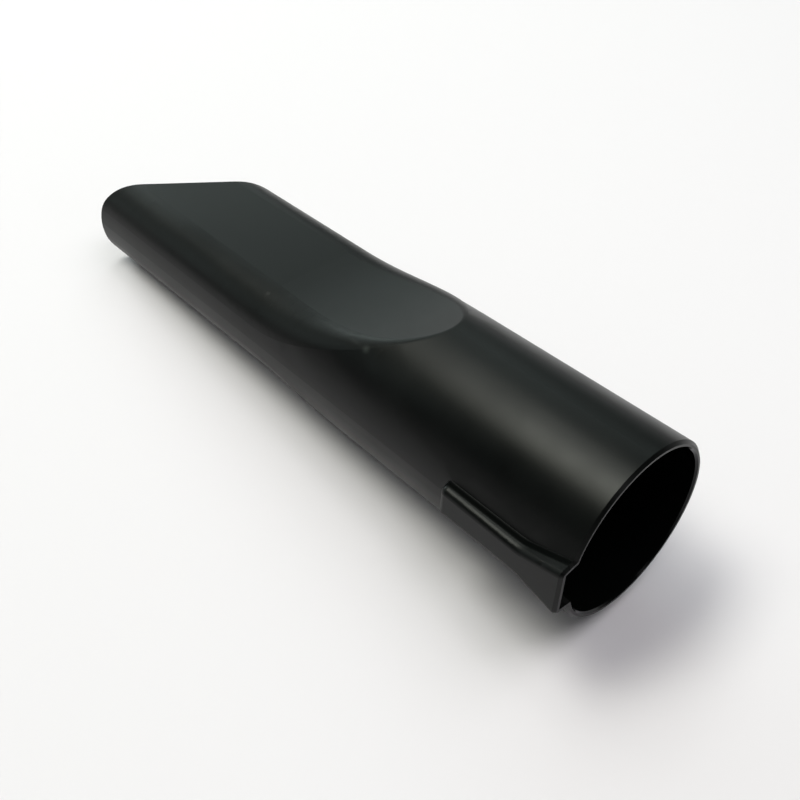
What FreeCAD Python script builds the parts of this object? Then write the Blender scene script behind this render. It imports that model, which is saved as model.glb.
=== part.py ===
import FreeCAD, Part
import Sketcher
import math
import os

# Vacuum crevice tool, one hollow moulding in black plastic. Sizes are in millimetres and degrees.
# The tool is drawn along X, from the centre of its open mouth at zero to the slanted tip.
# Y points to the side that carries the latch housing, and Z is normal to the flat of the blade.

doc = FreeCAD.newDocument("crevice_tool")
sheet = doc.addObject("Spreadsheet::Sheet", "sizes")
sizeTable = {
    # socket that slides over the end of a wand
    "boreRadius": 17.5,
    "boreDepth": 32.0,
    "socketWall": 1.5,
    "mouthLeadIn": 0.4,
    "rimBevel": 0.6,
    # tube, scoop and blade
    "draftAngle": 0.72,
    "plainLength": 15.3,
    "scoopRadius": 105.0,
    "scoopEdgeRound": 1.2,
    "bladeThickness": 20.4,
    "bladeEdgeRound": 8.3,
    "axisLength": 135.2,
    "tipSlant": 37.0,
    "tipBevel": 0.4,
    "ductWall": 1.6,
    "ductEdgeRound": 0.4,
    # latch housing beside the mouth
    "housingLength": 29.8,
    "housingHeight": 2.6,
    "housingDrop": 0.75,
    "housingDraft": 10.0,
    "housingRound": 1.3,
    "housingWall": 1.3,
    "neckWidth": 8.2,
    "flareWidth": 13.2,
    "flareLength": 10.0,
    "flareRound": 12.0,
    # how far a cutting shape runs past what it cuts
    "overrun": 1.0,
}
for row, (name, number) in enumerate(sizeTable.items(), start=1):
    sheet.set("A" + str(row), name)
    sheet.set("B" + str(row), str(number))
    sheet.setAlias("B" + str(row), name)
doc.recompute()

# lengths that follow from the sheet, as formulas
mouthRadius = "(sizes.boreRadius + sizes.socketWall)"
blankLength = "(sizes.axisLength + " + mouthRadius + " * tan(sizes.tipSlant) + sizes.overrun)"
bladeHalf = "(sizes.bladeThickness / 2)"
scoopStart = "(sizes.boreDepth + sizes.plainLength)"
scoopRise = "(" + mouthRadius + " - " + scoopStart + " * tan(sizes.draftAngle) - " + bladeHalf + ")"
scoopRun = "sqrt(2 * sizes.scoopRadius * " + scoopRise + " - " + scoopRise + " ^ 2)"
scoopEnd = "(" + scoopStart + " + " + scoopRun + ")"
housingRoot = "(sizes.boreRadius - sizes.socketWall)"
housingReach = "(" + mouthRadius + " + sizes.housingHeight)"
housingDepth = "(" + housingReach + " - " + housingRoot + " + sizes.overrun)"
housingLead = "(" + housingDepth + " * tan(sizes.housingDraft) + sizes.overrun)"
housingSlope = "(sizes.housingDrop / sizes.housingLength)"
flareSlope = "((sizes.flareWidth - sizes.neckWidth) / 2 / sizes.flareLength)"

# share of a wall or corner that an edge round or bevel may take, and slack for finding an edge by its place
roundShare = 0.9
near = 0.01


def value(formula):
    return float(sheet.evalExpression(formula))


def tubeRadius(station):
    return "(" + mouthRadius + " - (" + station + ") * tan(sizes.draftAngle))"


def addSketch(body, name, role):
    sketch = body.newObject("Sketcher::SketchObject", name)
    planes = [item for item in body.Origin.OriginFeatures if item.Role == role]
    sketch.AttachmentSupport = [(planes[0], "")]
    sketch.MapMode = "FlatFace"
    return sketch


def bind(sketch, kind, places, now, formula):
    index = sketch.addConstraint(Sketcher.Constraint(kind, *places, now))
    sketch.setExpression("Constraints[" + str(index) + "]", formula)


def addProfile(sketch, corners):
    # closed outline of straight edges, each corner dimensioned from the sketch origin
    points = [FreeCAD.Vector(value(across), value(up), 0) for across, up in corners]
    count = len(points)
    for i in range(count):
        sketch.addGeometry(Part.LineSegment(points[i], points[(i + 1) % count]), False)
    for i in range(count):
        sketch.addConstraint(Sketcher.Constraint("Coincident", i, 2, (i + 1) % count, 1))
    for i, (across, up) in enumerate(corners):
        bind(sketch, "DistanceX", (-1, 1, i, 1), points[i].x, across)
        bind(sketch, "DistanceY", (-1, 1, i, 1), points[i].y, up)
    doc.recompute()


def addRevolution(body, name, sketch, angle):
    item = body.newObject("PartDesign::Revolution", name)
    item.Profile = sketch
    item.ReferenceAxis = (sketch, ["H_Axis"])
    item.Angle = angle
    doc.recompute()


def addThrough(body, kind, name, sketch):
    # pad or pocket that runs past the tool on both sides of its sketch
    item = body.newObject(kind, name)
    item.Profile = sketch
    item.SideType = "Symmetric"
    item.setExpression("Length", mouthRadius + " * 4")
    doc.recompute()


def softenBody(body, name, test, formula):
    # rounds the edges of a body that pass the test
    base = body.Tip
    chosen = ["Edge" + str(n) for n, edge in enumerate(base.Shape.Edges, start=1) if test(edge.BoundBox)]
    item = body.newObject("PartDesign::Fillet", name)
    item.Base = (base, chosen)
    item.setExpression("Radius", formula)
    doc.recompute()


def bevelShape(name, base, test, size):
    # bevels the edges of a shape that pass the test
    item = doc.addObject("Part::Chamfer", name)
    item.Base = base
    item.Edges = [(n, size, size) for n, edge in enumerate(base.Shape.Edges, start=1) if test(edge)]
    doc.recompute()
    return item


def addPair(kind, name, base, tool):
    item = doc.addObject(kind, name)
    item.Base = base
    item.Tool = tool
    item.Refine = True
    doc.recompute()
    return item


def addMirror(name, source, normal):
    item = doc.addObject("Part::Mirroring", name)
    item.Source = source
    item.Normal = normal
    doc.recompute()
    return item


def middleOf(edge):
    return edge.valueAt((edge.FirstParameter + edge.LastParameter) / 2)


def onTube(point, inset):
    return abs(math.hypot(point.y, point.z) - value(tubeRadius(str(point.x))) + inset) < near


def tubeForm(name, inset, start, apexRound, bladeRound):
    # a quarter of the tapered tube scooped down to a flat blade, mirrored to the whole form
    body = doc.addObject("PartDesign::Body", name + "Quarter")
    profile = addSketch(body, name + "Profile", "XZ_Plane")
    addProfile(profile, [
        (start, "0"),
        (start, tubeRadius(start) + " - " + inset),
        (blankLength, tubeRadius(blankLength) + " - " + inset),
        (blankLength, "0"),
    ])
    addRevolution(body, name + "Turned", profile, 90)

    # scoop line, a wide arc that runs out into the flat of the blade
    scoop = addSketch(body, name + "ScoopLine", "XZ_Plane")
    flat = value(bladeHalf + " - " + inset)
    top = value(mouthRadius + " + sizes.overrun")
    radius = value("sizes.scoopRadius + " + inset)
    runOut = value(scoopEnd)
    far = value(blankLength + " + sizes.overrun")
    sweep = math.acos(1 - (top - flat) / radius)
    corners = [(runOut, flat), (far, flat), (far, top), (runOut - radius * math.sin(sweep), top)]
    corners = [FreeCAD.Vector(across, up, 0) for across, up in corners]
    for i in range(3):
        scoop.addGeometry(Part.LineSegment(corners[i], corners[i + 1]), False)
    ring = Part.Circle(FreeCAD.Vector(runOut, flat + radius, 0), FreeCAD.Vector(0, 0, 1), radius)
    bottom = 1.5 * math.pi
    scoop.addGeometry(Part.ArcOfCircle(ring, bottom - sweep, bottom), False)
    for i in range(3):
        scoop.addConstraint(Sketcher.Constraint("Coincident", i, 2, i + 1, 1))
    scoop.addConstraint(Sketcher.Constraint("Tangent", 3, 2, 0, 1))
    scoop.addConstraint(Sketcher.Constraint("Horizontal", 0))
    scoop.addConstraint(Sketcher.Constraint("Vertical", 1))
    scoop.addConstraint(Sketcher.Constraint("Horizontal", 2))
    bind(scoop, "DistanceX", (-1, 1, 0, 1), runOut, scoopEnd)
    bind(scoop, "DistanceY", (-1, 1, 0, 1), flat, bladeHalf + " - " + inset)
    bind(scoop, "DistanceX", (-1, 1, 2, 1), far, blankLength + " + sizes.overrun")
    bind(scoop, "DistanceY", (-1, 1, 2, 1), top, mouthRadius + " + sizes.overrun")
    bind(scoop, "Radius", (3,), radius, "sizes.scoopRadius + " + inset)
    doc.recompute()
    addThrough(body, "PartDesign::Pocket", name + "Scooped", scoop)

    # edge of the scoop, crisp where it leaves the tube and widening along the blade
    chosen = []
    for n, edge in enumerate(body.Shape.Edges, start=1):
        middle = middleOf(edge)
        if not onTube(middle, value(inset)) or middle.z < near or abs(middle.y) < near:
            continue
        if edge.BoundBox.XLength < near:
            continue
        rounds = [bladeRound, bladeRound]
        if edge.BoundBox.ZLength > near:
            towardsTip = edge.valueAt(edge.FirstParameter).x < edge.valueAt(edge.LastParameter).x
            rounds[0 if towardsTip else 1] = apexRound
        chosen.append((n, rounds[0], rounds[1]))
    blend = doc.addObject("Part::Fillet", name + "Blend")
    blend.Base = body
    blend.Edges = chosen
    doc.recompute()
    half = addPair("Part::Fuse", name + "Half", blend, addMirror(name + "OtherSide", blend, (0, 1, 0)))
    return addPair("Part::Fuse", name + "Whole", half, addMirror(name + "Underside", half, (0, 0, 1)))


def keelBlock(name, inset):
    # drafted keel on the side of the tube, wide at the mouth and narrow behind it
    body = doc.addObject("PartDesign::Body", name)
    plan = addSketch(body, name + "Plan", "XZ_Plane")
    plan.setExpression("AttachmentOffset.Base.z", "-" + housingRoot)
    front = "-" + housingLead
    back = "sizes.housingLength - " + inset
    wide = "(sizes.flareWidth / 2 - " + inset + " + " + flareSlope + " * " + housingLead + ")"
    neck = "(sizes.neckWidth / 2 - " + inset + ")"
    addProfile(plan, [
        (front, "-" + wide),
        (front, wide),
        ("sizes.flareLength", neck),
        (back, neck),
        (back, "-" + neck),
        ("sizes.flareLength", "-" + neck),
    ])
    block = body.newObject("PartDesign::Pad", name + "Block")
    block.Profile = plan
    block.Reversed = True
    block.setExpression("Length", housingDepth)
    block.setExpression("TaperAngle", "-sizes.housingDraft")
    doc.recompute()
    return body


def planeFace(body, inset):
    # outer face of a keel, leaning in towards the axis away from the mouth
    side = addSketch(body, body.Name + "Side", "XY_Plane")
    front = "-2 * " + housingLead
    back = "(sizes.housingLength + sizes.overrun)"
    above = housingReach + " + 3 * sizes.overrun"
    addProfile(side, [
        (front, housingReach + " - " + inset + " + 2 * " + housingLead + " * " + housingSlope),
        (back, housingReach + " - " + inset + " - " + back + " * " + housingSlope),
        (back, above),
        (front, above),
    ])
    addThrough(body, "PartDesign::Pocket", body.Name + "Planed", side)


# outside of the tube and blade
outside = tubeForm("tube", "0", "0", value("sizes.scoopEdgeRound"),
                   min(value("sizes.bladeEdgeRound"), roundShare * value(bladeHalf)))
rimBevel = min(value("sizes.rimBevel"), roundShare * value("sizes.socketWall - sizes.mouthLeadIn"),
               roundShare * value("sizes.housingRound"))
rimmed = bevelShape("rimBevelled", outside, lambda edge: edge.BoundBox.XMax < near, rimBevel)

# latch housing, its end cut flush with the mouth
housing = keelBlock("latchHousing", "0")
flareEnd = value("sizes.flareLength")
housingEnd = value("sizes.housingLength")
keelHeight = value(housingReach + " - " + housingRoot)
softenBody(housing, "housingBends", lambda box: box.YLength > keelHeight and abs(box.XMax - flareEnd) < near,
           "sizes.flareRound")
softenBody(housing, "housingCorners", lambda box: box.YLength > keelHeight and abs(box.XMax - housingEnd) < near,
           "sizes.housingRound")
planeFace(housing, "0")
trim = addSketch(housing, "housingTrim", "XY_Plane")
addProfile(trim, [
    ("-2 * " + housingLead, housingRoot + " - sizes.overrun"),
    ("0", housingRoot + " - sizes.overrun"),
    ("0", housingReach + " + sizes.overrun"),
    ("-2 * " + housingLead, housingReach + " + sizes.overrun"),
])
addThrough(housing, "PartDesign::Pocket", "housingFlush", trim)
faceLow = value(housingReach + " - sizes.housingDrop") - near
softenBody(housing, "housingFaceRound", lambda box: box.YMin > faceLow and box.XMax > near, "sizes.housingRound")
rootLevel = value(housingRoot)


def isHousingEnd(edge):
    # outline of the housing in the plane of the mouth, without its buried root
    return edge.BoundBox.XMax < near and edge.BoundBox.YMax > rootLevel + near


ended = bevelShape("housingEndBevelled", housing, isHousingEnd, rimBevel)
joined = addPair("Part::Fuse", "tubeWithHousing", rimmed, ended)

# hollow, a straight socket behind its lead-in, then a duct that keeps the wall even
ductRound = min(value("sizes.bladeEdgeRound"), roundShare * value(bladeHalf)) - value("sizes.ductWall")
duct = tubeForm("duct", "sizes.ductWall", "sizes.boreDepth", value("sizes.ductEdgeRound"), ductRound)
socket = doc.addObject("PartDesign::Body", "socketCore")
bore = addSketch(socket, "boreLine", "XZ_Plane")
addProfile(bore, [
    ("-sizes.overrun", "0"),
    ("-sizes.overrun", "sizes.boreRadius + sizes.mouthLeadIn + sizes.overrun"),
    ("sizes.mouthLeadIn", "sizes.boreRadius"),
    ("sizes.boreDepth", "sizes.boreRadius"),
    ("sizes.boreDepth", "0"),
])
addRevolution(socket, "boreTurned", bore, 360)
pocket = keelBlock("latchPocket", "sizes.housingWall")
planeFace(pocket, "sizes.housingWall")
cores = doc.addObject("Part::MultiFuse", "cores")
cores.Shapes = [duct, socket, pocket]
cores.Refine = True
doc.recompute()
hollow = addPair("Part::Cut", "hollowed", joined, cores)

# slanted cut across the tip, which is longest on the side of the housing
tip = doc.addObject("PartDesign::Body", "tipCut")
slant = addSketch(tip, "slantLine", "XY_Plane")
tipRise = "2 * " + mouthRadius + " * tan(sizes.tipSlant)"
addProfile(slant, [
    ("sizes.axisLength - " + tipRise, "-2 * " + mouthRadius),
    ("2 * " + blankLength, "-2 * " + mouthRadius),
    ("2 * " + blankLength, "2 * " + mouthRadius),
    ("sizes.axisLength + " + tipRise, "2 * " + mouthRadius),
])
addThrough(tip, "PartDesign::Pad", "tipWedge", slant)
trimmed = addPair("Part::Cut", "slantTrimmed", hollow, tip)
slope = value("tan(sizes.tipSlant)")
axisLength = value("sizes.axisLength")


def isTipEdge(edge):
    spots = [edge.valueAt(edge.FirstParameter), middleOf(edge), edge.valueAt(edge.LastParameter)]
    return all(abs(spot.x - spot.y * slope - axisLength) < near for spot in spots)


tipBevel = min(value("sizes.tipBevel"), roundShare * value("sizes.ductWall / 2"))
tool = bevelShape("creviceTool", trimmed, isTipEdge, tipBevel)
tool.Label = "crevice_tool"

for item in doc.Objects:
    failed = "Invalid" in item.State or "Error" in item.State
    if failed or (hasattr(item, "Shape") and item.Shape.isNull()):
        raise RuntimeError(item.Name + " did not build")
if not tool.Shape.isValid() or len(tool.Shape.Solids) != 1:
    raise RuntimeError("the tool is not one sound solid")

# resting place, the tilt that brings the centre of mass lowest over a flat surface
facet = 0.2
steepest = 0.3
narrowings = 24
skin = [point for point in tool.Shape.tessellate(facet)[0] if point.z < 0]
heart = tool.Shape.Solids[0].CenterOfMass


def downward(pitch, roll):
    return FreeCAD.Vector(pitch, roll, -1).normalize()


def restHeight(pitch, roll):
    down = downward(pitch, roll)
    return max(down.dot(point) for point in skin) - down.dot(heart)


def lowestPlace(height):
    # bottom of a function with one valley, by narrowing
    low = -steepest
    high = steepest
    for step in range(narrowings):
        third = (high - low) / 3
        if height(low + third) < height(high - third):
            high = high - third
        else:
            low = low + third
    return (low + high) / 2


def bestRoll(pitch):
    return lowestPlace(lambda roll: restHeight(pitch, roll))


pitch = lowestPlace(lambda tried: restHeight(tried, bestRoll(tried)))
down = downward(pitch, bestRoll(pitch))
lift = max(down.dot(point) for point in skin)
rest = FreeCAD.Rotation(down, FreeCAD.Vector(0, 0, -1))
turned = FreeCAD.Placement(FreeCAD.Vector(0, 0, lift), rest)
spots = [turned.multVec(point) for point in tool.Shape.tessellate(facet)[0]]
middleX = (min(spot.x for spot in spots) + max(spot.x for spot in spots)) / 2
middleY = (min(spot.y for spot in spots) + max(spot.y for spot in spots)) / 2
tool.Placement = FreeCAD.Placement(FreeCAD.Vector(-middleX, -middleY, lift), rest)
doc.recompute()

os.makedirs("parts", exist_ok=True)
tool.Shape.exportStep("parts/" + tool.Label + ".step")
mouth = tool.Placement.multVec(FreeCAD.Vector(0, 0, 0))
outward = rest.multVec(FreeCAD.Vector(-1, 0, 0))
print("volume", round(tool.Shape.Volume, 1), "faces", len(tool.Shape.Faces))
print("mouth centre", [round(v, 4) for v in mouth], "bore axis", [round(v, 6) for v in outward])
print("turn", [round(v, 6) for v in rest.getYawPitchRoll()])
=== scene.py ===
import math

import bmesh
import bpy
from mathutils import Euler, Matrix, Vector

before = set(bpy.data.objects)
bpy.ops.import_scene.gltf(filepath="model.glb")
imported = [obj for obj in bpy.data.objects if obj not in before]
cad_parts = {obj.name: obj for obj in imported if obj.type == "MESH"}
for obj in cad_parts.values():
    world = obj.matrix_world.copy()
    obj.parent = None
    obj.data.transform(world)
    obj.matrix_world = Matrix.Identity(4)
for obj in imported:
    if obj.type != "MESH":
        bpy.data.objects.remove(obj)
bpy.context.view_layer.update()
print("stage: frame loaded")

mm = 0.001

# how the tool lies: its mouth centre, and its turn from the frame it is drawn in to this one
toolLie = {
    "mouth": (-72.8251, -1.4276, 22.7486),  # mm
    "turn": (4.065301, 5.375458, 0.190922),  # degrees about X, Y and Z
}


def linear(code):
    # sRGB hex to linear colour
    parts = [int(code[i:i + 2], 16) / 255 for i in (1, 3, 5)]
    return tuple(p / 12.92 if p <= 0.04045 else ((p + 0.055) / 1.055) ** 2.4 for p in parts) + (1.0,)


def radians(turn):
    return tuple(math.radians(angle) for angle in turn)


def addNode(tree, kind, settings=None, inputs=None):
    # one node with its settings, and its inputs as values or as links from other sockets
    node = tree.nodes.new(kind)
    for name, setting in (settings or {}).items():
        setattr(node, name, setting)
    for name, source in (inputs or {}).items():
        if isinstance(source, bpy.types.NodeSocket):
            tree.links.new(source, node.inputs[name])
        else:
            node.inputs[name].default_value = source
    return node


def newMaterial(name):
    material = bpy.data.materials.new(name)
    material.use_nodes = True
    material.node_tree.nodes.clear()
    return material


# Black ABS, injection moulded in a tool with a fine spark-eroded grain: a satin skin that spreads
# highlights wide and a little unevenly, with a bore that the polished core left shinier.
plastic = {
    "colour": "#060807",
    "deepColour": "#040505",
    "ior": 1.49,
    "specularLevel": 0.17,
    "grainWidth": 0.45,  # mm between pits, about three times the real grain so that it shows
    "grainDepth": 0.004,  # mm
    "grainDetail": 2.0,
    "grainHarshness": 0.6,
    "cloudWidth": 14.0,  # mm across the faint clouds in the sheen
    "cloudDetail": 3.0,
    "cloudHarshness": 0.5,
    "cloudLow": 0.35,  # part of the clouds' range that sets the roughness
    "cloudHigh": 0.65,
    "roughLow": 0.31,
    "roughHigh": 0.37,
    "boreRough": 0.15,
    "boreRadius": 17.92,  # mm, just past the socket's wall and its lead-in
    "boreEnd": 32.0,  # mm from the mouth
    "tubeRadius": 19.0,  # mm outside, at the mouth
    "tubeDraft": 0.72,  # degrees
    "rollStart": 0.03,  # mm clear of the tube, so that the tube itself stays plain
    "rollWidth": 1.3,  # mm of the latch housing's ledge that rolls down into the seam
    "rollDepth": 0.6,  # mm
    "rollEnd": 30.5,  # mm from the mouth
}

# a paler spot painted into the colour on the shoulder of the scoop, and a paler streak painted from
# it towards the tip
paleSpot = {
    "colour": "#2a2d2b",
    "place": (58.0, 12.6, 13.2),  # mm in the drawing frame
    "reach": (1.3, 1.2, 1.2),  # mm to where it has faded out
    "strength": 0.9,
}
paleStreak = {
    "colour": "#1c1e1d",
    "place": (61.8, 12.5, 13.2),  # mm in the drawing frame
    "reach": (3.2, 0.7, 0.9),  # mm
    "strength": 0.85,
}


def mouldedPlastic():
    p = plastic
    material = newMaterial("mouldedBlackAbs")
    tree = material.node_tree
    coords = addNode(tree, "ShaderNodeTexCoord")
    lie = addNode(tree, "ShaderNodeMapping", {"vector_type": "TEXTURE"}, {
        "Vector": coords.outputs["Object"],
        "Location": [v * mm for v in toolLie["mouth"]],
        "Rotation": radians(toolLie["turn"]),
        "Scale": (mm, mm, mm),
    })
    place = lie.outputs["Vector"]  # drawing frame, mm
    clouds = addNode(tree, "ShaderNodeTexNoise", None, {
        "Vector": place, "Scale": 1 / p["cloudWidth"],
        "Detail": p["cloudDetail"], "Roughness": p["cloudHarshness"]})
    grain = addNode(tree, "ShaderNodeTexNoise", None, {
        "Vector": place, "Scale": 1 / p["grainWidth"],
        "Detail": p["grainDetail"], "Roughness": p["grainHarshness"]})
    rough = addNode(tree, "ShaderNodeMapRange", None, {
        "Value": clouds.outputs["Fac"], "From Min": p["cloudLow"], "From Max": p["cloudHigh"],
        "To Min": p["roughLow"], "To Max": p["roughHigh"]})
    tint = addNode(tree, "ShaderNodeMix", {"data_type": "RGBA"}, {
        "Factor": clouds.outputs["Fac"], "A": linear(p["deepColour"]), "B": linear(p["colour"])})
    colour = tint.outputs["Result"]
    # the paler spot and the paler streak are painted into the colour, each fading out from its place
    for mark in (paleStreak, paleSpot):
        offset = addNode(tree, "ShaderNodeMapping", {"vector_type": "TEXTURE"}, {
            "Vector": place, "Location": mark["place"], "Scale": mark["reach"]})
        away = addNode(tree, "ShaderNodeVectorMath", {"operation": "LENGTH"}, {
            0: offset.outputs["Vector"]})
        fade = addNode(tree, "ShaderNodeMapRange", {"interpolation_type": "SMOOTHSTEP"}, {
            "Value": away.outputs["Value"], "From Min": 0.0, "From Max": 1.0,
            "To Min": mark["strength"], "To Max": 0.0})
        marked = addNode(tree, "ShaderNodeMix", {"data_type": "RGBA"}, {
            "Factor": fade.outputs["Result"], "A": colour, "B": linear(mark["colour"])})
        colour = marked.outputs["Result"]
    axes = addNode(tree, "ShaderNodeSeparateXYZ", None, {"Vector": place})
    across = addNode(tree, "ShaderNodeCombineXYZ", None, {
        "Y": axes.outputs["Y"], "Z": axes.outputs["Z"]})
    spread = addNode(tree, "ShaderNodeVectorMath", {"operation": "LENGTH"}, {
        0: across.outputs["Vector"]})
    within = addNode(tree, "ShaderNodeMath", {"operation": "LESS_THAN"}, {
        0: spread.outputs["Value"], 1: p["boreRadius"]})
    before = addNode(tree, "ShaderNodeMath", {"operation": "LESS_THAN"}, {
        0: axes.outputs["X"], 1: p["boreEnd"]})
    inBore = addNode(tree, "ShaderNodeMath", {"operation": "MULTIPLY"}, {
        0: within.outputs["Value"], 1: before.outputs["Value"]})
    skin = addNode(tree, "ShaderNodeMix", {"data_type": "FLOAT"}, {
        "Factor": inBore.outputs["Value"], "A": rough.outputs["Result"], "B": p["boreRough"]})
    bump = addNode(tree, "ShaderNodeBump", None, {
        "Height": grain.outputs["Fac"], "Strength": 1.0, "Distance": p["grainDepth"] * mm})
    skinRadius = addNode(tree, "ShaderNodeMath", {"operation": "MULTIPLY_ADD"}, {
        0: axes.outputs["X"], 1: -math.tan(math.radians(p["tubeDraft"])), 2: p["tubeRadius"]})
    proud = addNode(tree, "ShaderNodeMath", {"operation": "SUBTRACT"}, {
        0: spread.outputs["Value"], 1: skinRadius.outputs["Value"]})
    roll = addNode(tree, "ShaderNodeMapRange", {"interpolation_type": "SMOOTHSTEP"}, {
        "Value": proud.outputs["Value"], "From Min": p["rollStart"], "From Max": p["rollWidth"]})
    beside = addNode(tree, "ShaderNodeMath", {"operation": "LESS_THAN"}, {
        0: axes.outputs["X"], 1: p["rollEnd"]})
    rollHeight = addNode(tree, "ShaderNodeMath", {"operation": "MULTIPLY"}, {
        0: roll.outputs["Result"], 1: beside.outputs["Value"]})
    seamRoll = addNode(tree, "ShaderNodeBump", None, {
        "Height": rollHeight.outputs["Value"], "Strength": 1.0, "Distance": p["rollDepth"] * mm,
        "Normal": bump.outputs["Normal"]})
    shader = addNode(tree, "ShaderNodeBsdfPrincipled", None, {
        "Base Color": colour, "Roughness": skin.outputs["Result"], "IOR": p["ior"],
        "Specular IOR Level": p["specularLevel"], "Normal": seamRoll.outputs["Normal"]})
    addNode(tree, "ShaderNodeOutputMaterial", None, {"Surface": shader.outputs["BSDF"]})
    return material


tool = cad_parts["crevice_tool"]
tool.material_slots[0].material = mouldedPlastic()
print("stage: tool dressed")

# pale paper with a painted pool of light: painted white round the tool and darkening to a painted
# soft grey outside the picture, standing in for light falling off away from the tool
paperFloor = {
    "colour": "#e8e4e9",
    "paintedShadeColour": "#9a989a",
    "litPoolCentre": (20.0, -62.0),  # mm
    "litPoolRadius": 186.0,  # mm
    "paintedShadeRadius": 290.0,  # mm
    "radius": 1500.0,  # mm
    "sides": 96,
}


def layFloor():
    f = paperFloor
    shape = bmesh.new()
    bmesh.ops.create_circle(shape, cap_ends=True, radius=f["radius"] * mm, segments=f["sides"])
    mesh = bpy.data.meshes.new("paperFloor")
    shape.to_mesh(mesh)
    shape.free()
    material = newMaterial("mattePaper")
    tree = material.node_tree
    coords = addNode(tree, "ShaderNodeTexCoord")
    centre = [v * mm for v in f["litPoolCentre"]] + [0.0]
    # painted falloff of light: the paper's colour darkens with distance from the centre of the
    # painted pool
    away = addNode(tree, "ShaderNodeVectorMath", {"operation": "DISTANCE"}, {
        0: coords.outputs["Object"], 1: centre})
    shade = addNode(tree, "ShaderNodeMapRange", {"interpolation_type": "SMOOTHSTEP"}, {
        "Value": away.outputs["Value"],
        "From Min": f["litPoolRadius"] * mm, "From Max": f["paintedShadeRadius"] * mm})
    tint = addNode(tree, "ShaderNodeMix", {"data_type": "RGBA"}, {
        "Factor": shade.outputs["Result"], "A": linear(f["colour"]), "B": linear(f["paintedShadeColour"])})
    paper = addNode(tree, "ShaderNodeBsdfDiffuse", None, {"Color": tint.outputs["Result"]})
    addNode(tree, "ShaderNodeOutputMaterial", None, {"Surface": paper.outputs["BSDF"]})
    mesh.materials.append(material)
    floor = bpy.data.objects.new("paperFloor", mesh)
    bpy.context.scene.collection.objects.link(floor)


layFloor()

# soft panels round the table, all aimed at the tool; a radiance of 1 shows as white in a mirror
panelAim = (0.0, 0.0, 0.02)  # metres
panels = {
    # bearing from +X and height in degrees, away and size in metres, radiance, tint
    "keyBox": (20, 64, 1.6, (0.5, 0.5), 11.0, "#fcfff4"),
    "keyFlank": (44, 58, 1.6, (0.5, 0.5), 7.6, "#fcfff0"),
    "keyBridge": (344, 60, 1.6, (0.5, 0.5), 5.2, "#fafff6"),
    "windowBridge": (324, 47, 1.6, (0.45, 0.4), 1.9, "#f2fffa"),
    "windowHigh": (300, 38, 1.0, (0.4, 0.3), 1.3, "#eefffb"),
    "windowMid": (316, 28, 1.0, (0.5, 0.3), 0.77, "#eefffb"),
    "windowLow": (331, 12, 1.0, (0.45, 0.35), 1.2, "#eefffb"),
    "windowSide": (298, 12, 1.0, (0.4, 0.35), 0.35, "#eefffb"),
    "windowEnd": (350, 12, 1.0, (0.4, 0.35), 6.6, "#eefffb"),
    "tipHigh": (10, 32, 1.0, (0.4, 0.3), 0.75, "#f2fffa"),
    "scoopCard": (35, 20, 1.0, (0.45, 0.45), 1.1, "#eefffb"),
    "mouthCard": (188, 28, 1.0, (0.2, 0.1), 3.0, "#ffffff"),
    "overhead": (190, 72, 0.8, (0.4, 0.4), 2.7, "#ffffff"),
    "backFill": (240, 61, 0.8, (0.45, 0.45), 2.0, "#ffffff"),
    "sideFill": (110, 61, 0.8, (0.4, 0.4), 0.83, "#ffffff"),
}


def hangPanels():
    aim = Vector(panelAim)
    for name, (bearing, height, away, size, radiance, tint) in panels.items():
        turn, rise = radians((bearing, height))
        side = math.cos(rise)
        data = bpy.data.lights.new(name, "AREA")
        data.shape = "RECTANGLE"
        data.size, data.size_y = size
        data.energy = radiance * math.pi * data.size * data.size_y
        data.color = linear(tint)[:3]
        lamp = bpy.data.objects.new(name, data)
        reach = Vector((side * math.cos(turn), side * math.sin(turn), math.sin(rise))) * away
        lamp.location = aim + reach
        lamp.rotation_euler = (-reach).to_track_quat("-Z", "Y").to_euler()
        lamp.visible_camera = False
        bpy.context.scene.collection.objects.link(lamp)


hangPanels()

# the room: a pale wall low down, dim above it
room = {
    "colour": "#ffffff",
    "wallStrength": 0.42,
    "ceilingStrength": 0.02,
    "wallTop": 0.05,  # sine of the angle above the horizon
    "ceilingStart": 0.2,  # sine
}


def paintRoom():
    world = bpy.data.worlds.new("softRoom")
    world.use_nodes = True
    tree = world.node_tree
    tree.nodes.clear()
    coords = addNode(tree, "ShaderNodeTexCoord")
    axes = addNode(tree, "ShaderNodeSeparateXYZ", None, {"Vector": coords.outputs["Generated"]})
    level = addNode(tree, "ShaderNodeMapRange", {"interpolation_type": "SMOOTHSTEP"}, {
        "Value": axes.outputs["Z"], "From Min": room["wallTop"], "From Max": room["ceilingStart"],
        "To Min": room["wallStrength"], "To Max": room["ceilingStrength"]})
    glow = addNode(tree, "ShaderNodeBackground", None, {
        "Color": linear(room["colour"]), "Strength": level.outputs["Result"]})
    addNode(tree, "ShaderNodeOutputWorld", None, {"Surface": glow.outputs["Background"]})
    bpy.context.scene.world = world


paintRoom()
print("stage: studio lit")

# camera solved from the outline of the mouth, tube and blade in the photograph
camera = {
    "place": (-119.552, 110.076, 181.104),  # mm
    "turn": (41.4745, -2.5984, -133.2005),  # degrees
    "lens": 48.854,  # mm
    "sensor": 36.0,  # mm
    "nearest": 5.0,  # mm
}


def setCamera():
    data = bpy.data.cameras.new("photoCamera")
    data.lens = camera["lens"]
    data.sensor_width = camera["sensor"]
    data.clip_start = camera["nearest"] * mm
    photoCamera = bpy.data.objects.new("photoCamera", data)
    photoCamera.location = [v * mm for v in camera["place"]]
    photoCamera.rotation_euler = Euler(radians(camera["turn"]))
    bpy.context.scene.collection.objects.link(photoCamera)
    bpy.context.scene.camera = photoCamera
    bpy.context.scene.view_settings.view_transform = "Standard"


setCamera()
print("stage: camera set")
